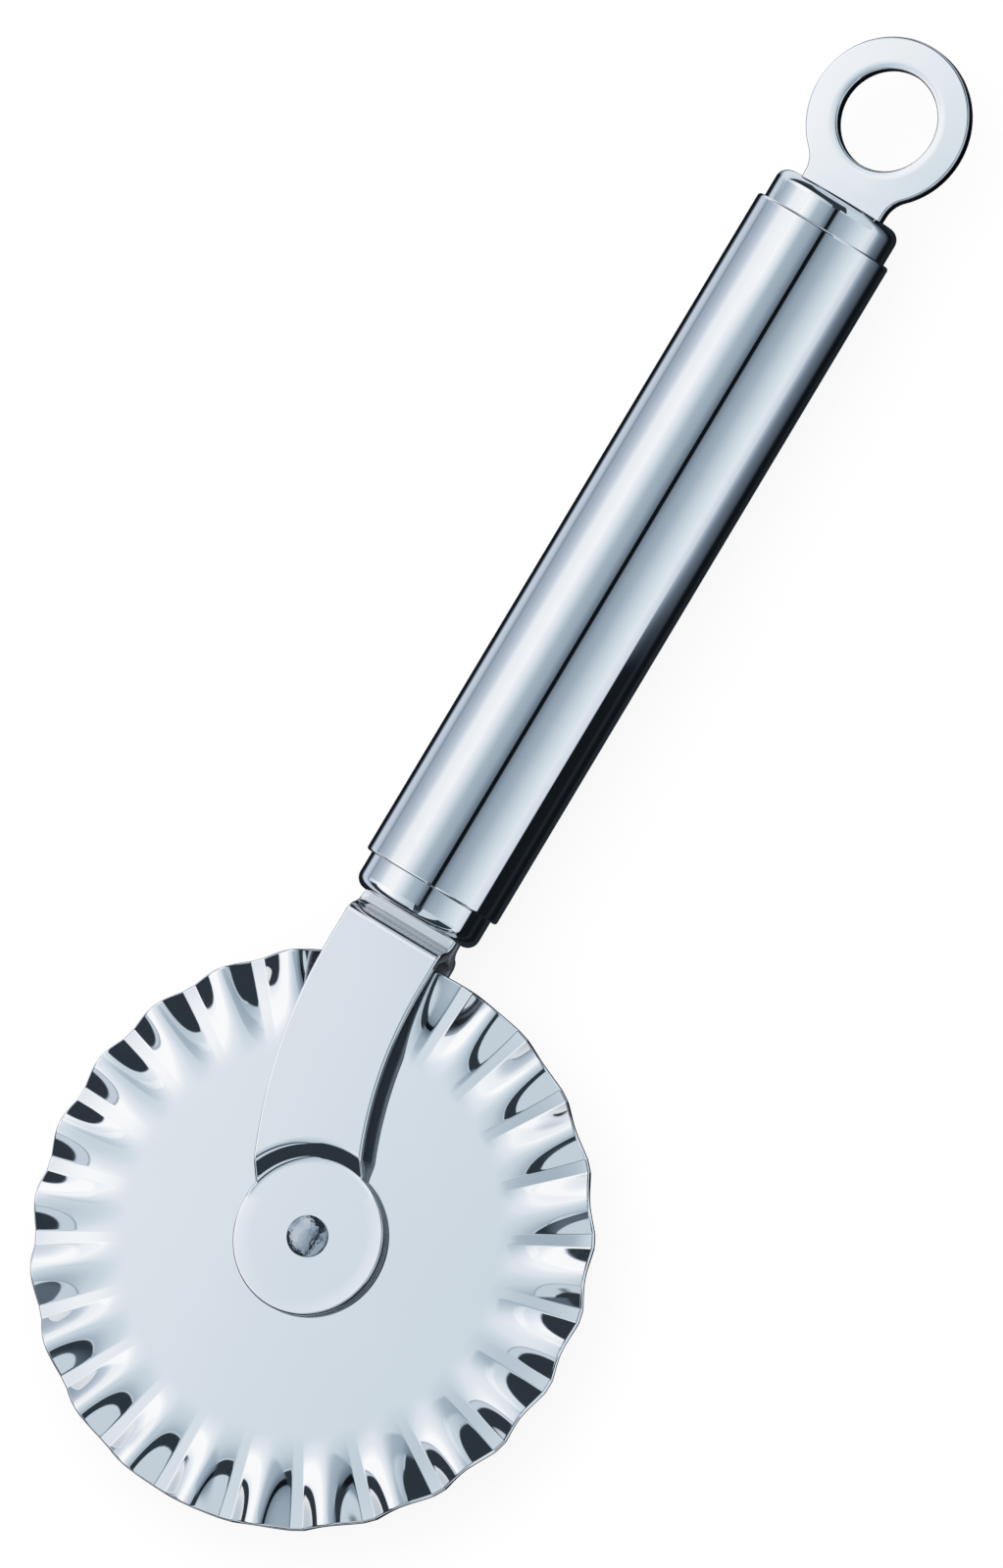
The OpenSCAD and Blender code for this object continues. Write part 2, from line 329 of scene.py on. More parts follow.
def lathe(corners, to_frame, closed=True, steps=LATHE_STEPS):
    """Points, normals and faces of a turned shape with a profile of (radius, height, corner radius)."""
    flat, flat_normals = rounded_profile(corners, closed)
    t = np.linspace(0, 2 * math.pi, steps, endpoint=False)

    def turned(p):
        x, y = np.outer(p[:, 0], np.cos(t)), np.outer(p[:, 0], np.sin(t))
        return np.stack([x, y, np.outer(p[:, 1], np.ones(steps))], -1).reshape(-1, 3)

    points, normals = turned(flat), turned(flat_normals)
    rows = len(flat)
    faces = strip(rows, steps)
    if closed:
        last = (rows - 1) * steps
        i = np.arange(steps)
        k = (i + 1) % steps
        faces = np.concatenate([faces, np.stack([last + i, last + k, k, i], 1)])
    area = np.linalg.norm(
        np.cross(points[faces[:, 2]] - points[faces[:, 0]], points[faces[:, 3]] - points[faces[:, 1]]), axis=1
    )
    faces = faces[area > 1e-9]
    fans = []
    for row in range(rows):
        if flat[row, 0] < 1e-9:
            ring = faces[np.any(faces // steps == row, axis=1)]
            faces = faces[~np.any(faces // steps == row, axis=1)]
            other = ring[ring // steps != row].reshape(-1, 2)
            fans.append(np.column_stack([other, np.full(len(other), row * steps)]))
    return to_frame(points), to_frame(normals, 0), [faces] + fans


def along_handle(vectors, shift=1):
    """From a turned shape's own axis, Z, to the handle's axis."""
    x, y, z = vectors.T
    return np.stack([x - OFFSET * shift, z, y], 1)


def along_axle(vectors, shift=1):
    return vectors


def cap_mesh(name, y, way, slot_w, slot_t):
    """An end cap: a drawn cup whose closed end at y has a slot for the tangs."""
    depth = CAP_OUT + CAP_SKIRT
    inner_r = CAP_R - CAP_WALL
    outside = [(0, 0, 0), (CAP_R, 0, CAP_CORNER), (CAP_R, depth, CAP_LIP)]
    inside = [(inner_r, depth, CAP_LIP), (inner_r, CAP_WALL, CAP_CORNER - CAP_WALL), (0, CAP_WALL, 0)]
    points, normals, faces = lathe(outside + inside, along_axle, closed=False)
    points = along_handle(points * (1, 1, way) + (0, 0, y))
    normals = along_handle(normals * (1, 1, way), 0)
    cap = link(name, make_mesh(name, points, normals, faces))
    cutter = bpy.data.meshes.new("slot")
    w, t, d = slot_w / 2 + FIT_CLEAR, slot_t / 2 + FIT_CLEAR, CAP_WALL + CAP_CORNER
    corners = [(x, yy, z) for x in (-OFFSET - w, -OFFSET + w) for yy in (y - d, y + d) for z in (-t, t)]
    cutter.from_pydata(
        place(corners).tolist(), [],
        [(0, 1, 3, 2), (4, 6, 7, 5), (0, 4, 5, 1), (2, 3, 7, 6), (0, 2, 6, 4), (1, 5, 7, 3)],
    )
    tool = link("slot", cutter)
    cut = cap.modifiers.new("slot", "BOOLEAN")
    cut.operation, cut.object, cut.solver = "DIFFERENCE", tool, "EXACT"
    seen = cap.evaluated_get(bpy.context.evaluated_depsgraph_get())
    cap.data = bpy.data.meshes.new_from_object(seen)
    cap.modifiers.clear()
    bpy.data.objects.remove(tool)
    if "custom_normal" in cap.data.attributes:
        cap.data.attributes.remove(cap.data.attributes["custom_normal"])
    cap.data.shade_smooth()
    cap.data.set_sharp_from_angle(angle=math.radians(SHARP_ANGLE))
    even = cap.modifiers.new("even_normals", "WEIGHTED_NORMAL")
    even.keep_sharp = True
    return cap


def arc(centre, radius, start, end, spacing=OUTLINE_STEP, hollow=False):
    """Points of an arc and their normals, which point away from the metal. Angles are in degrees."""
    count = max(5, int(abs(math.radians(end - start)) * radius / spacing))
    a = np.radians(np.linspace(start, end, count + 1))
    out = np.stack([np.cos(a), np.sin(a)], 1)
    return np.array(centre) + radius * out, -out if hollow else out


def line(start, end, normal, spacing=OUTLINE_STEP):
    start, end = np.array(start, float), np.array(end, float)
    t = np.linspace(0, 1, max(2, int(np.hypot(*(end - start)) / spacing)))[1:-1, None]
    return start + t * (end - start), np.tile(np.array(normal, float), (len(t), 1))


def loop(*parts):
    """One closed outline from arcs and lines that follow each other smoothly."""
    points = np.concatenate([p for p, _ in parts])
    normals = np.concatenate([n for _, n in parts])
    apart = np.linalg.norm(points - np.roll(points, 1, 0), axis=1) > 1e-6
    return points[apart], normals[apart]


def circles_meet(c0, r0, c1, r1, side):
    """The point where two circles meet, on the given side of the line from c0 to c1."""
    c0, c1 = np.array(c0, float), np.array(c1, float)
    d = np.hypot(*(c1 - c0))
    e = (c1 - c0) / d
    a = (r0 * r0 - r1 * r1 + d * d) / (2 * d)
    h = math.sqrt(r0 * r0 - a * a)
    return c0 + a * e + side * h * np.array([-e[1], e[0]])


def bearing(vector):
    return math.degrees(math.atan2(vector[1], vector[0]))


def on_metal(points, loops):
    """True inside the first loop and outside the others."""
    x, y = points[:, :1], points[:, 1:]
    odd = np.zeros(len(points), bool)
    for at in loops:
        to = np.roll(at, -1, 0)
        spans = (at[:, 1] > y) != (to[:, 1] > y)
        rise = np.where(to[:, 1] == at[:, 1], 1, to[:, 1] - at[:, 1])
        hit = x < at[:, 0] + (y - at[:, 1]) * (to[:, 0] - at[:, 0]) / rise
        odd ^= (np.count_nonzero(spans & hit, axis=1) % 2).astype(bool)
    return odd


def plate(loops, inner, top, bottom, edge, raw_under=0):
    """A sheet between two height fields, cut along the loops, with rounded edges.
    A height field gives heights and their slopes along X and Y at points. The last result marks the
    points of the cut edges, and with raw_under also those of the lower face, which is left unpolished."""
    inset = [p - n * edge for p, n in loops]
    border = np.concatenate(inset)
    inner = inner[on_metal(inner, inset)]
    near = np.min(np.linalg.norm(inner[:, None] - border[None], axis=2), axis=1)
    inner = inner[near > BORDER_GAP]
    points, normals, faces, cut, raw, base = [], [], [], [], [], 0
    low_edge, high_edge = [], []

    def surface(at, field, side):
        z, sx, sy = field(at)
        return z, unit(np.stack([-side * sx, -side * sy, side * np.ones(len(at))], 1))

    for p, n in loops:
        rows = []
        for side, field in ((-1, bottom), (1, top)):
            # How much each row is a cut edge, which gets the near-black colour that is partly painted shade
            block, sheared_and_shaded = [], []
            raw.append(np.full(len(p) * (EDGE_STEPS + 1), 0 if side == 1 else raw_under))
            for a in np.linspace(0, math.pi / 2, EDGE_STEPS + 1):
                at = p - n * edge * (1 - math.cos(a))
                z, up = surface(at, field, side)
                height = z - side * edge * (1 - math.sin(a))
                out = np.column_stack([n, np.zeros(len(n))])
                block.append((np.column_stack([at, height]), out * math.cos(a) + up * math.sin(a)))
                sheared_and_shaded.append(np.full(len(p), smooth(*SHEARED_AND_SHADED_SLOPES, math.cos(a))))
            rows += block if side == 1 else block[::-1]
            cut += sheared_and_shaded if side == 1 else sheared_and_shaded[::-1]
        points += [r[0] for r in rows]
        normals += [r[1] for r in rows]
        faces.append(strip(len(rows), len(p)) + base)
        low_edge.append(base + np.arange(len(p)))
        high_edge.append(base + (len(rows) - 1) * len(p) + np.arange(len(p)))
        base += len(rows) * len(p)

    flat = np.concatenate([border, inner])
    links, start = [], 0
    for at in inset:
        links += [(start + i, start + (i + 1) % len(at)) for i in range(len(at))]
        start += len(at)
    net = geometry.delaunay_2d_cdt([Vector(p) for p in flat], links, [], 0, 1e-7)
    first = np.array([ids[0] for ids in net[3]])
    triangles = first[np.array(net[2])]
    triangles = triangles[on_metal(flat[triangles].mean(1), inset)]
    for side, field, rim in ((-1, bottom, low_edge), (1, top, high_edge)):
        z, up = surface(inner, field, side)
        points.append(np.column_stack([inner, z]))
        normals.append(up)
        number = np.concatenate(rim + [base + np.arange(len(inner))])
        faces.append(number[triangles])
        base += len(inner)
        cut.append(np.zeros(len(inner)))
        raw.append(np.full(len(inner), 0 if side == 1 else raw_under))
    marks = {"cut": np.concatenate(cut), "raw": np.concatenate(raw)}
    return np.concatenate(points), np.concatenate(normals), faces, marks


def s_curve(s, rise, angle, low_r, high_r):
    """Height at s of a step that starts at s = 0, with a radius at each bend."""
    a = math.radians(angle)
    both = low_r + high_r
    length = both * math.sin(a) + (rise - both * (1 - math.cos(a))) / math.tan(a)
    t = np.clip(s, 0, low_r * math.sin(a))
    u = np.clip(length - s, 0, high_r * math.sin(a))
    low = low_r - np.sqrt(low_r**2 - t**2)
    high = rise - high_r + np.sqrt(high_r**2 - u**2)
    on_low = s <= low_r * math.sin(a)
    on_high = s >= length - high_r * math.sin(a)
    straight = low_r * (1 - math.cos(a)) + (s - low_r * math.sin(a)) * math.tan(a)
    return np.where(on_low, low, np.where(on_high, high, straight))


def slopes(height, x, y, h):
    return (height(x + h, y) - height(x - h, y)) / (2 * h), (height(x, y + h) - height(x, y - h)) / (2 * h)


def arm_field(level, hub, neck, lean=0):
    """Height field of one face of an arm's sheet, with its step up from the boss and its bend at the neck.
    hub and neck give each bend's place, slope, and radius at its low and high end. With lean the boss's
    free rim is pressed down at its left and up at its right."""
    def height(x, y):
        r = np.maximum(np.hypot(x, y), 1e-6)
        angle = np.degrees(np.arctan2(y, x)) % 360
        joined = smooth(*ARM_FROM, angle) * (1 - smooth(*ARM_TO, angle))
        step = joined * s_curve(r - hub[0], ARM_LEVEL - HUB_LEVEL, *hub[1:])
        near_rim = np.clip(r - BOSS_FLAT_R, 0, None) / (HUB_R - BOSS_FLAT_R)
        rim = lean * (1 - joined) * x / r * near_rim**2
        bend = s_curve(neck[0] - y, ARM_LEVEL, *neck[1:])
        return level + np.where(y < JOIN_Y, HUB_LEVEL + step + rim, bend)

    def field(at):
        x, y = at.T
        return height(x, y), *slopes(height, x, y, SLOPE_STEP)

    return field


def arm_loops():
    """Outline of an arm, and the hole for the rivet."""
    turn = (CURVE_R - OFFSET, CURVE_Y)
    left_r, right_r = CURVE_R + ARM_W / 2, CURVE_R - ARM_W / 2
    left_x, right_x = -OFFSET - ARM_W / 2, -OFFSET + ARM_W / 2
    left = circles_meet((0, 0), HUB_R + NOTCH_R, turn, left_r + NOTCH_R, 1)
    right = circles_meet((0, 0), HUB_R + NOTCH_R, turn, right_r - NOTCH_R, 1)
    left_from, right_from = left - turn, right - turn
    soft = TANG_CORNER
    outline = loop(
        arc((0, 0), HUB_R, bearing(left), bearing(right) + 360),
        arc(right, NOTCH_R, bearing(right) + 180, bearing(right_from) % 360, NOTCH_STEP, True),
        arc(turn, right_r, bearing(right_from) % 360, 180, hollow=True),
        line((right_x, CURVE_Y), (right_x, TANG_END_Y - soft), (1, 0)),
        arc((right_x - soft, TANG_END_Y - soft), soft, 0, 90),
        line((right_x - soft, TANG_END_Y), (left_x + soft, TANG_END_Y), (0, 1)),
        arc((left_x + soft, TANG_END_Y - soft), soft, 90, 180),
        line((left_x, TANG_END_Y - soft), (left_x, CURVE_Y), (-1, 0)),
        arc(turn, left_r, 180, bearing(left_from) % 360),
        arc(left, NOTCH_R, bearing(left_from) + 180, bearing(left) - 180, NOTCH_STEP, True),
    )
    return [outline, loop(arc((0, 0), PIN_HOLE_R, 360, 0, hollow=True))]


def arm_points():
    """Points on the arm's face: close together across the bends, and further apart on the flats."""
    found = []
    rim, step = np.arange(BOSS_FLAT_R, STEP_R - 0.2, 0.2), np.arange(STEP_R - 0.1, HUB_R + 2.4, 0.08)
    for r in np.concatenate([rim, step]):
        ends = (0, 360) if r < HUB_R - ARM_EDGE else (60, 180)
        a = np.radians(np.arange(*ends, 2.5))
        found.append(np.stack([r * np.cos(a), r * np.sin(a)], 1))
    across = np.arange(-OFFSET - ARM_W / 2, -OFFSET + ARM_W / 2, 0.4)
    for y in np.arange(NECK_END_Y - 2.2, NECK_END_Y + 0.8, 0.1):
        found.append(np.stack([across, np.full(len(across), y)], 1))
    x, y = np.meshgrid(np.arange(-17, 10, SHEET_STEP), np.arange(-9.4, TANG_END_Y, SHEET_STEP))
    coarse = np.stack([x.ravel(), y.ravel()], 1)
    r = np.hypot(coarse[:, 0], coarse[:, 1])
    bends = ((r > BOSS_FLAT_R - 0.2) & (r < HUB_R + 2.5)) | (
        (coarse[:, 1] > NECK_END_Y - 2.5) & (coarse[:, 1] < NECK_END_Y + 1)
    )
    found.append(coarse[~bends])
    return np.concatenate(found)


def ring_loops():
    centre = (-OFFSET, RING_Y)
    half = RING_NECK_W / 2
    fx = half + RING_FILLET
    fy = -math.sqrt((RING_R + RING_FILLET) ** 2 - fx * fx)
    right, left = (-OFFSET + fx, RING_Y + fy), (-OFFSET - fx, RING_Y + fy)
    lean = bearing((fx, fy))
    soft = TANG_CORNER
    end = RING_TANG_Y
    outline = loop(
        arc(centre, RING_R, lean, 180 - lean),
        arc(left, RING_FILLET, -lean, 0, hollow=True),
        line((-OFFSET - half, RING_Y + fy), (-OFFSET - half, end + soft), (-1, 0)),
        arc((-OFFSET - half + soft, end + soft), soft, 180, 270),
        line((-OFFSET - half + soft, end), (-OFFSET + half - soft, end), (0, -1)),
        arc((-OFFSET + half - soft, end + soft), soft, 270, 360),
        line((-OFFSET + half, end + soft), (-OFFSET + half, RING_Y + fy), (1, 0)),
        arc(right, RING_FILLET, 180, 180 + lean, hollow=True),
    )
    return [outline, loop(arc(centre, HOLE_R, 360, 0, hollow=True))]


def crowned_face(level):
    """Face of the ring's plate, slightly lower towards its outer edge and round the hole."""
    def height(x, y):
        r = np.hypot(x + OFFSET, y - RING_Y)
        share = r / RING_R
        crown = RING_CROWN * np.where(share < 1, share**2, 2 - np.exp(-2 * np.maximum(share - 1, 0)))
        roll = HOLE_ROLL * np.clip(1 - (r - HOLE_R) / HOLE_ROLL_W, 0, 1) ** 2
        return level - np.sign(level) * (crown + roll)

    def field(at):
        x, y = at.T
        return height(x, y), *slopes(height, x, y, SLOPE_STEP)

    return field


def ring_points():
    """Points on the ring's face: close together round the hole, and further apart elsewhere."""
    x, y = np.meshgrid(np.arange(-20, 1, RING_STEP), np.arange(126, 156, RING_STEP))
    coarse = np.stack([x.ravel(), y.ravel()], 1)
    found = [coarse[np.hypot(coarse[:, 0] + OFFSET, coarse[:, 1] - RING_Y) > HOLE_R + HOLE_ROLL_W + 0.3]]
    a = np.radians(np.arange(0, 360, 3))
    for r in np.arange(HOLE_R + RING_EDGE, HOLE_R + HOLE_ROLL_W + 0.15, 0.15)[1:]:
        found.append(np.stack([r * np.cos(a) - OFFSET, r * np.sin(a) + RING_Y], 1))
    return np.concatenate(found)


def flute_z(x, y):
    """Height of the middle of the wheel's sheet."""
    across = (np.degrees(np.arctan2(y, x)) - FLUTE_TURN) * FLUTES / 180 % 2 - 1
    across = across + CREST_LEAN * (1 - across**2)
    t = np.clip(np.abs(across) / (1 - VALLEY), 0, 1)
    arch = (np.sqrt(t * t + CREST_ROUND**2) - CREST_ROUND) / (math.sqrt(1 + CREST_ROUND**2) - CREST_ROUND)
    fall = mix(arch, smooth(0, 1, t), SIDE_SOFT)
    r = np.hypot(x, y)
    share = np.clip((r - ROOT_R) / (WHEEL_R - ROOT_R), 0, 1)
    rise = mix(smooth(0, 1, share), share**2, RISE_SQUARE)
    return FLUTE_H * (rise * (1 - 2 * fall) - RISE_DIP * rise * (1 - rise))


def wheel_parts():
    """The pressed sheet wheel: both faces, the rounded rim and the bore."""
    count = FLUTES * FLUTE_STEPS
    t = (np.arange(count) + 0.5) * 2 * math.pi / count
    out = np.stack([np.cos(t), np.sin(t)], 1)
    radii = np.concatenate([[BORE_R, 9.3, 15, 21], np.linspace(ROOT_R, WHEEL_R - RIM_EDGE, FLUTE_ROWS)])

    def face_at(r, side):
        x, y = (out * r).T
        sx, sy = slopes(flute_z, x, y, CREASE_STEP)
        return flute_z(x, y) + side * HALF_BLADE, side * unit(np.stack([-sx, -sy, np.ones(count)], 1))

    def rim_rows(side):
        rows = []
        for a in np.linspace(0, math.pi / 2, EDGE_STEPS + 1)[:-1]:
            r = WHEEL_R - RIM_EDGE * (1 - math.cos(a))
            z, up = face_at(r, side)
            at = np.column_stack([out * r, z - side * RIM_EDGE * (1 - math.sin(a))])
            rows.append((at, np.column_stack([out, np.zeros(count)]) * math.cos(a) + up * math.sin(a)))
        return rows

    def face_rows(side):
        rows = []
        for r in radii:
            z, up = face_at(r, side)
            rows.append((np.column_stack([out * r, z]), up))
        return rows

    bore = np.column_stack([-out, np.zeros(count)])
    rows = [(np.column_stack([out * BORE_R, np.full(count, -HALF_BLADE)]), bore)]
    rows += [(np.column_stack([out * BORE_R, np.full(count, HALF_BLADE)]), bore)]
    rows += face_rows(1) + rim_rows(1)[::-1] + rim_rows(-1) + face_rows(-1)[::-1]
    points = np.concatenate([r[0] for r in rows])
    normals = np.concatenate([r[1] for r in rows])
    faces = strip(len(rows), count)
    return points, normals, [faces[faces[:, 0] // count != 1]]


def rivet_parts():
    """Riveted pin: a peened, slightly uneven domed head on each side."""
    top = HEAD_SEAT + HEAD_RIM
    dome_r = (HEAD_R**2 + HEAD_DOME**2) / (2 * HEAD_DOME)
    profile = [(0, -top - HEAD_DOME, 0)]
    dome = [(HEAD_R * math.sin(a), top + HEAD_DOME - dome_r * (1 - math.cos(b)), 0)
            for a, b in ((f * math.pi / 2, math.asin(HEAD_R * math.sin(f * math.pi / 2) / dome_r))
                         for f in np.linspace(0.05, 0.93, 12))]
    rim = [(HEAD_R, HEAD_SEAT, SEAT_CORNER), (HEAD_R, top, HEAD_CORNER)]
    half = [(SHANK_R, HEAD_SEAT, 0)] + rim + dome[::-1]
    lower = [(r, -z, e) for r, z, e in half][::-1]
    profile += lower + half + [(0, top + HEAD_DOME, 0)]
    points, normals, faces = lathe(profile, along_axle, closed=False, steps=RIVET_STEPS)
    x, y, z = points.T
    on_head = smooth(top - 0.02, top + 0.05, np.abs(z))
    dents = 0.03 * np.sin(2.3 * x + 1.1 * np.sin(2.9 * y)) * np.cos(2.7 * y - 0.8)
    dents = dents - 0.02 * np.cos(4.1 * x + 3.3 * y)
    points[:, 2] += np.sign(z) * on_head * dents
    return points, normals, faces


def steel(name, roughness, spread, wave_size, wave_height, grain=None, shade=(1, 1, 1), partly_raw=False):
    """Stainless steel: slight colour variation, uneven gloss, faint waviness, brighter worn edges, near-black
    cut edges that are partly sheared metal and partly painted shade, and grey where it is unpolished. Sizes
    are in metres; grain is (size across, size along, height) of the brushing, with the lines round the
    handle. partly_raw is for pieces of which a face is unpolished."""
    material = bpy.data.materials.new(name)
    material.use_nodes = True
    tree = material.node_tree
    shader = tree.nodes["Principled BSDF"]

    def node(kind, **values):
        made = tree.nodes.new(kind)
        for key, value in values.items():
            setattr(made, key, value)
        return made

    def join(a, b):
        tree.links.new(a, b)

    def noise(source, size, detail):
        made = node("ShaderNodeTexNoise")
        made.inputs["Scale"].default_value = 1 / size
        made.inputs["Detail"].default_value = detail
        join(source, made.inputs["Vector"])
        return made.outputs["Fac"]

    def ranged(value, low, high, to_low, to_high):
        made = node("ShaderNodeMapRange")
        for key, number in (("From Min", low), ("From Max", high), ("To Min", to_low), ("To Max", to_high)):
            made.inputs[key].default_value = number
        join(value, made.inputs["Value"])
        return made.outputs["Result"]

    place_on = node("ShaderNodeTexCoord").outputs["Object"]
    cloud = noise(place_on, CLOUD_SIZE, 3)
    fine = noise(place_on, FINE_SIZE, 2)
    worn, cut, raw = (
        node("ShaderNodeAttribute", attribute_name=key).outputs["Fac"] for key in ("worn", "cut", "raw")
    )

    def tinted(gain):
        return tuple(c * s * gain for c, s in zip(STEEL, shade)) + (1,)

    def blend(first, second, share):
        made = node("ShaderNodeMix", data_type="RGBA")
        for key, value in (("A", first), ("B", second)):
            if isinstance(value, tuple):
                made.inputs[key].default_value = value
            else:
                join(value, made.inputs[key])
        join(share, made.inputs["Factor"])
        return made.outputs["Result"]

    colour = blend(tinted(PATCHES[0]), tinted(PATCHES[1]), cloud)
    # Cut edges take a near-black colour: partly sheared metal, partly painted shade
    for share, other in ((worn, tinted(WORN_SHADE)), (cut, SHEARED_AND_SHADED_COLOUR), (raw, RAW_COLOUR)):
        colour = blend(colour, other, share)
    join(colour, shader.inputs["Base Color"])

    gloss = ranged(fine, 0.3, 0.7, roughness - spread, roughness + spread)
    for share, more in zip((worn, cut, raw), ROUGHER):
        total = node("ShaderNodeMath", operation="MULTIPLY_ADD")
        join(share, total.inputs[0])
        total.inputs[1].default_value = more
        join(gloss, total.inputs[2])
        gloss = total.outputs["Value"]
    join(gloss, shader.inputs["Roughness"])
    shader.inputs["Metallic"].default_value = 1
    if partly_raw:
        join(ranged(raw, 0, 1, 1, RAW_METALLIC), shader.inputs["Metallic"])

    waves = node("ShaderNodeBump")
    waves.inputs["Distance"].default_value = wave_height
    join(noise(place_on, wave_size, 1), waves.inputs["Height"])
    last = waves
    if grain:
        stretch = node("ShaderNodeMapping", vector_type="POINT")
        stretch.inputs["Scale"].default_value = (grain[0] / grain[1], 1, grain[0] / grain[1])
        join(place_on, stretch.inputs["Vector"])
        lines = noise(stretch.outputs["Vector"], grain[0], 2)
        brushed = node("ShaderNodeBump")
        brushed.inputs["Distance"].default_value = grain[2]
        join(lines, brushed.inputs["Height"])
        join(waves.outputs["Normal"], brushed.inputs["Normal"])
        last = brushed
    join(last.outputs["Normal"], shader.inputs["Normal"])
    return material


def tint(level, cool=0.0):
    """Colour of the light that gives the steel this level: weak light is bluer than bright light.
    cool takes some red out of it."""
    seen = np.asarray(level) * STEEL[1]
    red = (0.74 + 0.26 * seen) * (1 - 0.035 * cool)
    shares = np.stack([red, np.ones_like(seen), (1.34 - 0.34 * seen) * (1 - 0.015 * cool)], -1)
    return seen[..., None] * shares / np.array(STEEL)


def paint(mesh, colours):
    colours = np.concatenate([colours, np.ones((len(colours), 1))], 1)
    layer = mesh.attributes.new("light", "FLOAT_COLOR", "POINT")
    layer.data.foreach_set("color", colours.astype(np.float32).ravel())


def glow(name):
    """Material that shines with the colours painted on its mesh."""
    material = bpy.data.materials.new(name)
    material.use_nodes = True
    tree = material.node_tree
    tree.nodes.clear()
    colour = tree.nodes.new("ShaderNodeAttribute")
    colour.attribute_name = "light"
    light = tree.nodes.new("ShaderNodeEmission")
    out = tree.nodes.new("ShaderNodeOutputMaterial")
    tree.links.new(colour.outputs["Color"], light.inputs["Color"])
    tree.links.new(light.outputs["Emission"], out.inputs["Surface"])
    material.cycles.emission_sampling = "NONE"
    return material, tree, light, out


def dome_level(psi, lam):
    """Brightness of the surround, by the angle psi across the handle and lam along it, in degrees."""
    p, q = np.radians(psi), np.radians(lam)
    x, y, z = np.sin(p) * np.cos(q), np.sin(q), np.cos(p) * np.cos(q)
    lean = math.radians(PANEL_LEAN)
    up = np.maximum(x * math.sin(lean) + z * math.cos(lean), 0.12)
    across = (x * math.cos(lean) - z * math.sin(lean)) / up
    along = y / up

    # The panel, its near end with a seam, and the dark room in front of it, to its right and behind it
    level = np.interp(psi, *zip(*PANEL))
    level = mix(level, NEAR_PANEL, smooth(1.15, 1.2, -along))
    level = mix(level, SEAM, smooth(1.12, 1.16, -along) * (1 - smooth(1.18, 1.22, -along)))
    skirt = 1.75 + 0.3 * np.clip(across, -1.5, 0) + 1.2 * np.clip(across, 0, 0.5)
    level = mix(level, DARK, smooth(0, 0.06, -along - skirt))
    level = mix(level, DARK, smooth(*PANEL_END, psi))
    behind = smooth(-0.03, 0.03, along - 0.8 + 0.25 * across)
    level = mix(level, DARK, behind * (1 - smooth(1.2, 1.3, across)))
    level = mix(level, SIDE_PANEL, smooth(26.3, 27.3, psi - 12 * smooth(0.75, 0.95, along)))

    # Low in front of the wheel: a dim wall on the right, and the dark foot of the room
    front = smooth(0.3, 0.4, -y)
    low = 1 - smooth(0.55, 0.75, z)
    level = mix(level, np.maximum(level, DIM), front * low * smooth(*PANEL_END, psi))
    foot = 0.3 + 0.3 * np.maximum(x - 0.2, 0)
    foot = foot + np.maximum(0.225 + 0.27 * x, 0) * (1 - smooth(0.235, 0.255, x + 0.5 * z))
    level = mix(level, DARK, front * (1 - smooth(-0.01, 0.01, z - foot)))
    level = mix(level, FAR_WALL, smooth(64, 68, lam))

    # Over the handle the light is laid out in stripes, with a black gap above the camera's side
    over_handle = np.interp(psi, *zip(*SWEEP))
    gap = mix(DARK, BLACK, smooth(-5, -4, lam))
    over_handle = mix(gap, over_handle, smooth(2.9, 3.4, np.abs(psi - VIEW_ANGLE - 0.8)))
    level = mix(level, over_handle, smooth(-6.5, -3.6, lam) * (1 - smooth(12.5, 19, lam)))
    over_ring = smooth(9.8, 11.5, lam) * (1 - smooth(21, 24, lam)) * (1 - smooth(7, 12, np.abs(psi + 21)))
    return level * mix(1, RING_GAIN, over_ring)


def add_dome():
    """Softboxes and dark gaps round the object. Only the reflections in the metal see them."""
    psi, lam = np.meshgrid(np.arange(-92, 92.1, 0.3), np.arange(-89, 89.1, 0.75))
    count, rows = psi.shape[1], psi.shape[0]
    p, q = np.radians(psi.ravel()), np.radians(lam.ravel())
    points = np.stack([np.sin(p) * np.cos(q), np.sin(q), np.cos(p) * np.cos(q)], 1) * DOME_R
    points += np.array([-OFFSET, 0, SLEEVE_R]) * 0.001
    mesh = bpy.data.meshes.new("studio_dome")
    mesh.from_pydata(points.tolist(), [], strip(rows, count, closed=False).tolist())
    mesh.shade_smooth()
    paint(mesh, tint(dome_level(psi.ravel(), lam.ravel()), smooth(*COOL_FROM, psi.ravel())))
    mesh.materials.append(glow("studio_light")[0])
    dome = link("studio_dome", mesh)
    for ray in ("camera", "diffuse", "transmission", "volume_scatter", "shadow"):
        setattr(dome, "visible_" + ray, False)


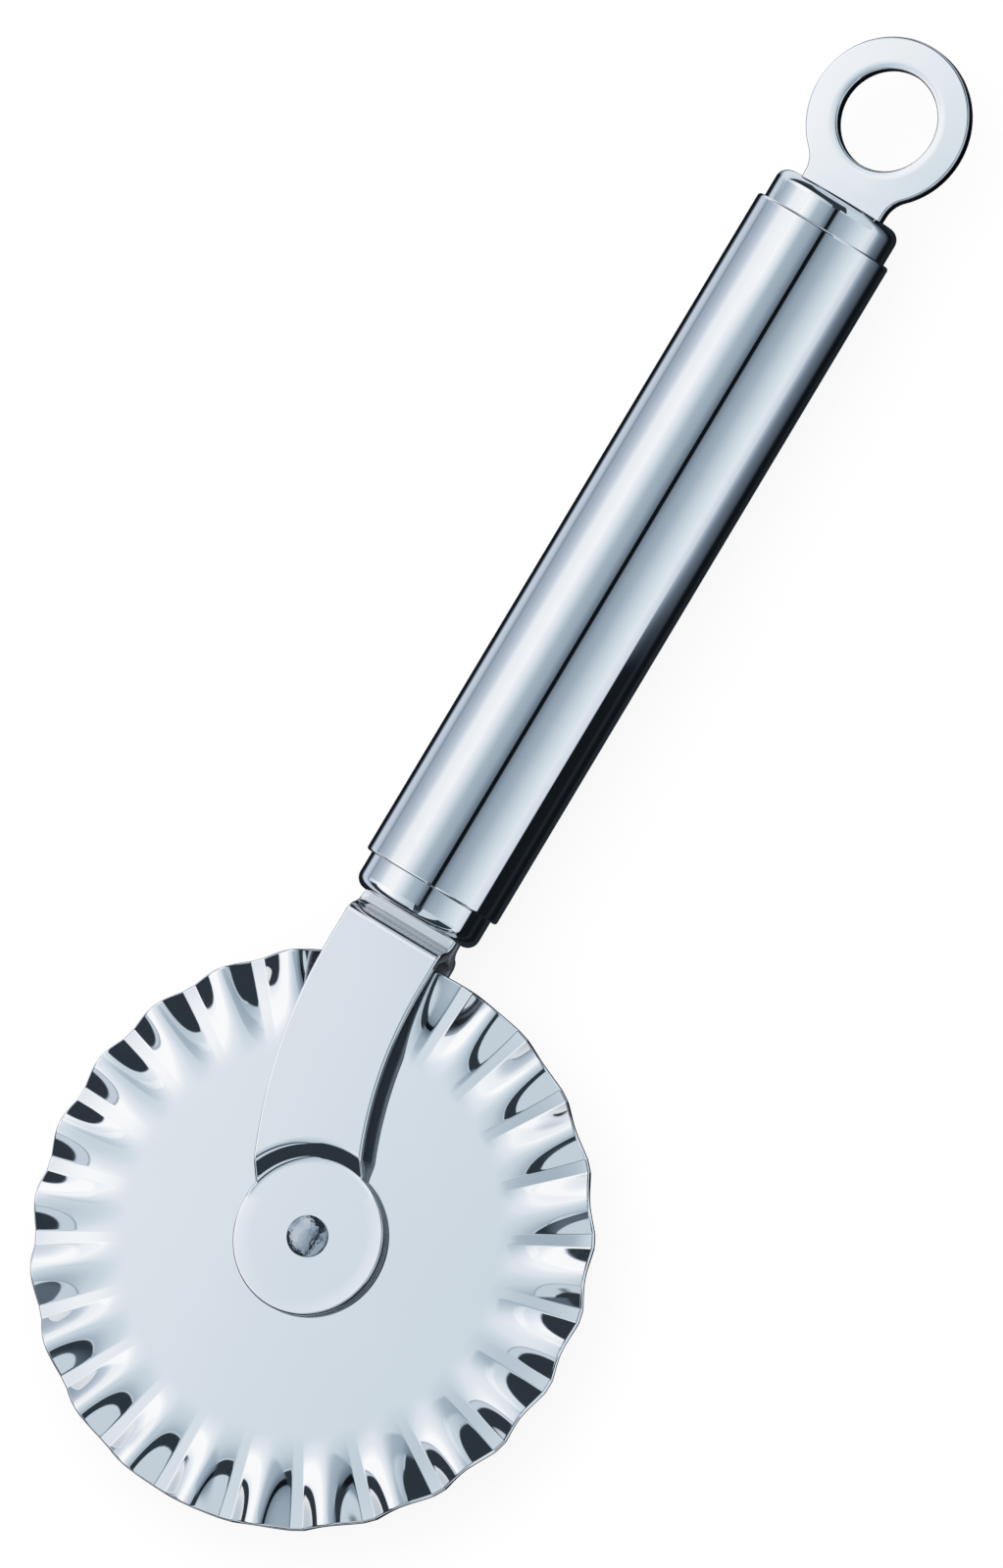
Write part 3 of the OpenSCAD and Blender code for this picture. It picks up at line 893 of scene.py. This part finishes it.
def add_floor():
    """Pale floor that keeps the shadow. Reflections see light painted on it, dark under the handle and the
    wheel.
    """
    fine = np.concatenate([np.linspace(-160, -45, 12), np.arange(-40, 70, 1.5), np.linspace(75, 160, 10)])
    far = np.array([400, 1200, 4000, 12000])
    xs = np.concatenate([-far[::-1], fine, far])
    ys = np.concatenate([-far[::-1], np.linspace(-160, 160, 65), far])
    x, y = np.meshgrid(xs, ys)
    mesh = bpy.data.meshes.new("floor")
    points = np.stack([(x.ravel() - OFFSET), y.ravel(), np.zeros(x.size)], 1) * 0.001
    mesh.from_pydata(points.tolist(), [], strip(len(ys), len(xs), closed=False).tolist())
    # Light painted for reflections only: dark under the handle and the wheel, paler further out
    level = mix(np.interp(x, *zip(*FLOOR_NEAR)), np.interp(x, *zip(*FLOOR_FAR)), smooth(14, 30, y)).ravel()
    beside_ring = smooth(76, 80, y.ravel()) * (1 - smooth(-11, -9, x.ravel()))
    level = mix(level, FLOOR_BESIDE_RING, beside_ring)
    ends = smooth(105, 135, np.abs(y.ravel()))
    paint(mesh, tint(mix(level, FLOOR_ENDS, ends)))
    material, tree, light, out = glow("pale_floor")
    rays = tree.nodes.new("ShaderNodeLightPath")
    plain = tree.nodes.new("ShaderNodeBsdfDiffuse")
    plain.inputs["Color"].default_value = (FLOOR_GREY, FLOOR_GREY, FLOOR_GREY, 1)
    seen = tree.nodes.new("ShaderNodeEmission")
    seen.inputs["Color"].default_value = (1, 1, 1, 1)
    own = tree.nodes.new("ShaderNodeMath")
    own.operation = "MULTIPLY"
    own.inputs[1].default_value = FLOOR_GLOW
    both = tree.nodes.new("ShaderNodeAddShader")
    choose = tree.nodes.new("ShaderNodeMixShader")
    tree.links.new(rays.outputs["Is Camera Ray"], own.inputs[0])
    tree.links.new(own.outputs["Value"], seen.inputs["Strength"])
    tree.links.new(seen.outputs["Emission"], both.inputs[0])
    tree.links.new(plain.outputs["BSDF"], both.inputs[1])
    tree.links.new(rays.outputs["Is Glossy Ray"], choose.inputs["Fac"])
    tree.links.new(both.outputs["Shader"], choose.inputs[1])
    tree.links.new(light.outputs["Emission"], choose.inputs[2])
    tree.links.new(choose.outputs["Shader"], out.inputs["Surface"])
    mesh.materials.append(material)
    link("floor", mesh)


def add_world():
    """White for the camera, reflections and clear materials, and a plain level for everything else."""
    world = bpy.data.worlds.new("studio")
    bpy.context.scene.world = world
    world.use_nodes = True
    tree = world.node_tree
    sky = tree.nodes["Background"]
    sky.inputs["Color"].default_value = (1, 1, 1, 1)
    world.cycles.sampling_method = "NONE"
    rays = tree.nodes.new("ShaderNodeLightPath")
    most = tree.nodes.new("ShaderNodeMath")
    most.operation = "MAXIMUM"
    also = tree.nodes.new("ShaderNodeMath")
    also.operation = "MAXIMUM"
    level = tree.nodes.new("ShaderNodeMapRange")
    level.inputs["To Min"].default_value = WORLD_LEVEL
    level.inputs["To Max"].default_value = 1
    tree.links.new(rays.outputs["Is Camera Ray"], most.inputs[0])
    tree.links.new(rays.outputs["Is Glossy Ray"], most.inputs[1])
    tree.links.new(most.outputs["Value"], also.inputs[0])
    tree.links.new(rays.outputs["Is Transmission Ray"], also.inputs[1])
    tree.links.new(also.outputs["Value"], level.inputs["Value"])
    tree.links.new(level.outputs["Result"], sky.inputs["Strength"])


def add_sun():
    lamp = bpy.data.lights.new("soft_light", "SUN")
    lamp.energy = SUN_LEVEL
    lamp.angle = math.radians(SUN_SPREAD)
    sun = link("soft_light", lamp)
    sun.visible_glossy = False
    sun.rotation_euler = [math.radians(a) for a in SUN_TURN]


def add_camera():
    lens = bpy.data.cameras.new("camera")
    lens.sensor_fit = "VERTICAL"
    lens.sensor_height = 36
    lens.lens = VIEW_LENS
    lens.clip_end = 50
    camera = link("camera", lens)
    turn = Matrix((VIEW_RIGHT, VIEW_UP, VIEW_BACK)).transposed().to_4x4()
    camera.matrix_world = Matrix.Translation(VIEW_AIM + VIEW_DISTANCE * VIEW_BACK) @ turn
    bpy.context.scene.camera = camera


def add_pieces(nodes):
    # Each steel's roughness and its spread, size and height of its waviness, and brushing or shade
    satin = steel("satin_steel", 0.037, 0.01, 0.02, 4e-6, (0.00012, 0.012, 4e-7))
    cap_steel = steel("cap_steel", 0.05, 0.015, 0.01, 5e-6)
    polished = steel("polished_steel", 0.045, 0.015, 0.014, 8e-6, partly_raw=True)
    pressed = steel("wheel_steel", 0.05, 0.015, 0.016, 1e-5)
    peened = steel("rivet_steel", 0.16, 0.06, 0.0005, 5e-5, shade=(0.53, 0.58, 0.63))

    wall = [
        (SLEEVE_R - SLEEVE_WALL, SLEEVE_Y, SLEEVE_INNER_EDGE), (SLEEVE_R, SLEEVE_Y, SLEEVE_EDGE),
        (SLEEVE_R, SLEEVE_END_Y, SLEEVE_EDGE), (SLEEVE_R - SLEEVE_WALL, SLEEVE_END_Y, SLEEVE_INNER_EDGE),
    ]
    sleeve = link("sleeve_tube", make_mesh("sleeve_tube", *lathe(wall, along_handle)))
    dress(sleeve, satin, "handle", "grip_sleeve")
    fork_cap = cap_mesh("fork_cap", FORK_CAP_Y, 1, ARM_W, 2 * ARM_T)
    dress(fork_cap, cap_steel, "handle", "fork_end_cap")
    ring_cap = cap_mesh("ring_cap", RING_CAP_Y, -1, RING_NECK_W, RING_T)
    dress(ring_cap, cap_steel, "handle", "ring_end_cap")

    faces_at = crowned_face(RING_T / 2), crowned_face(-RING_T / 2)
    ring = plate(ring_loops(), ring_points(), *faces_at, RING_EDGE)
    ring_plate = link("ring_plate", make_mesh("ring_plate", *ring))
    dress(ring_plate, polished, "handle", "hanging_ring")

    upper = arm_field(
        ARM_T, (STEP_R, STEP_ANGLE, STEP_FOOT, STEP_HEAD),
        (NECK_FOOT_Y, NECK_ANGLE, NECK_FOOT, OUTER_BEND), lean=BOSS_LEAN,
    )
    lower = arm_field(
        0, (HUB_R, UNDER_ANGLE, OUTER_BEND, INNER_BEND), (NECK_END_Y, NECK_ANGLE, OUTER_BEND, INNER_BEND)
    )
    points, normals, faces, marks = plate(arm_loops(), arm_points(), upper, lower, ARM_EDGE, raw_under=1)
    # The cut edges' near-black colour, partly painted shade, stays full at the boss and the hole and weak on
    # the arm's own edges
    marks["cut"] = marks["cut"] * np.where(np.hypot(points[:, 0], points[:, 1]) > HUB_R + 0.1, ARM_SHEARED_AND_SHADED, 1)
    flip = np.array([1, 1, -1])
    front = link("front_arm", make_mesh("front_arm", points, normals, faces, marks))
    dress(front, polished, "handle", "front_fork_arm")
    rear = link("rear_arm", make_mesh("rear_arm", points * flip, normals * flip, faces, marks))
    dress(rear, polished, "handle", "rear_fork_arm")

    rivet = link("rivet_pin", make_mesh("rivet_pin", *rivet_parts()))
    dress(rivet, peened, "handle", "axle_rivet")
    wheel = link("pastry_wheel", make_mesh("pastry_wheel", *wheel_parts()))
    dress(wheel, pressed, "wheel", "fluted_wheel")

    for slot in nodes["axle_bush"].material_slots:
        slot.material = peened


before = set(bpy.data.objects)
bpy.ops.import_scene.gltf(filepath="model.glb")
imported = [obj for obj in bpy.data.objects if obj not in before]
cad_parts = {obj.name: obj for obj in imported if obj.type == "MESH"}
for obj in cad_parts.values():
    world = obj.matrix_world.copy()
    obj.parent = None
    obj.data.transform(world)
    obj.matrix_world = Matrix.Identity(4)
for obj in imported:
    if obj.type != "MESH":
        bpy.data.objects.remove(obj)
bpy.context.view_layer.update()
add_camera()
add_world()
add_sun()
add_floor()
add_dome()
add_pieces(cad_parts)
bpy.context.scene.view_settings.view_transform = "Standard"
